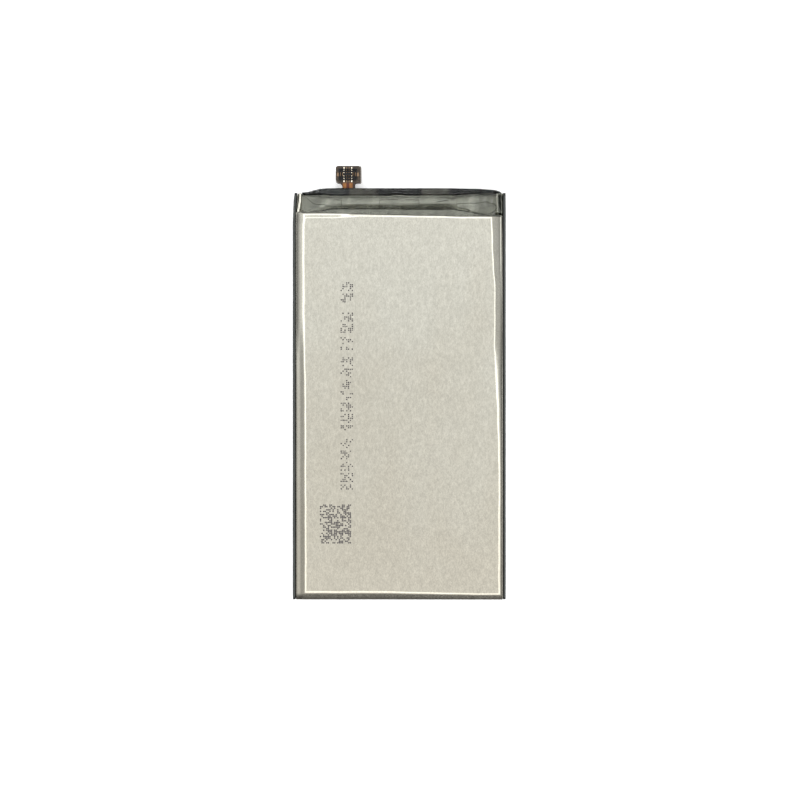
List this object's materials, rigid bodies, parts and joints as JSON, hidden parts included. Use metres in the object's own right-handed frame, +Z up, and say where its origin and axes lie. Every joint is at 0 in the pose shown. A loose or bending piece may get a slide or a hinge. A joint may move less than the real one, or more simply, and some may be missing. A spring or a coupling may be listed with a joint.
{
  "type": "lithium-ion pouch cell",
  "caption": "Flat lithium-ion pouch cell with folded side seals, a taped protection board across one end and a short bending tail with a board-to-board socket.",
  "frame": {"origin": "centre of the underside of the bare cell, on the label", "axes": "+Z up out of the drawn face, +Y towards the connector end, +X to the right seen from above"},
  "size_m": [0.0436, 0.0888, 0.0053],
  "materials": {
    "laminate": "satin foil with a fine drawn grain",
    "label": "matte film",
    "anode": "matt graphite coating",
    "cathode": "matt oxide coating",
    "separator": "matt film",
    "winding_tape": "satin film",
    "nickel": "satin",
    "tab_aluminium": "satin",
    "sealant": "satin",
    "board": "satin solder mask",
    "chip": "matt moulding",
    "chip_ceramic": "matt ceramic with tinned ends",
    "resistor": "satin",
    "wrap": "glossy insulating film",
    "clear_tape": "clear glossy film",
    "flex": "amber polyimide film",
    "stiffener": "satin",
    "housing": "matt moulding",
    "contact_gold": "gold plated"
  },
  "bodies": {
    "cell": {"anode_sheet": "anode", "backup_protection_ic": "chip", "board_wrap": "wrap", "capacitor_1": "chip_ceramic", "capacitor_2": "chip_ceramic", "capacitor_3": "chip_ceramic", "cathode_sheet": "cathode", "chip_fuse": "chip_ceramic", "end_tape": "clear_tape", "flex_root": "flex", "label_sheet": "label", "mosfet_charge": "chip", "mosfet_discharge": "chip", "negative_tab": "nickel", "negative_tab_sealant_back": "sealant", "negative_tab_sealant_front": "sealant", "negative_tab_weld_tape": "winding_tape", "negative_weld_plate": "nickel", "positive_tab": "tab_aluminium", "positive_tab_sealant_back": "sealant", "positive_tab_sealant_front": "sealant", "positive_tab_weld_tape": "winding_tape", "positive_weld_plate": "nickel", "pouch_cup_half": "laminate", "pouch_flat_half": "laminate", "protection_board": "board", "protection_ic": "chip", "resistor_1": "resistor", "resistor_2": "resistor", "resistor_3": "resistor", "roll_end_tape": "winding_tape", "sense_resistor": "resistor", "separator_inner": "separator", "separator_outer": "separator", "thermistor": "chip_ceramic"},
    "connector_tail": {"connector_housing": "housing", "flex_head": "flex", "power_contact_1": "contact_gold", "power_contact_2": "contact_gold", "signal_contact_1": "contact_gold", "signal_contact_2": "contact_gold", "signal_contact_3": "contact_gold", "signal_contact_4": "contact_gold", "signal_contact_5": "contact_gold", "signal_contact_6": "contact_gold", "signal_contact_7": "contact_gold", "signal_contact_8": "contact_gold", "stiffener": "stiffener"}
  },
  "joints": [
    {"name": "tail_bend", "type": "hinge", "parent": "cell", "child": "connector_tail", "pos_m": [-0.01035, 0.04295, 0.00295], "axis": [1, 0, 0], "range_deg": [-35, 65], "stiffness_Nm_per_rad": 0.003}
  ]
}
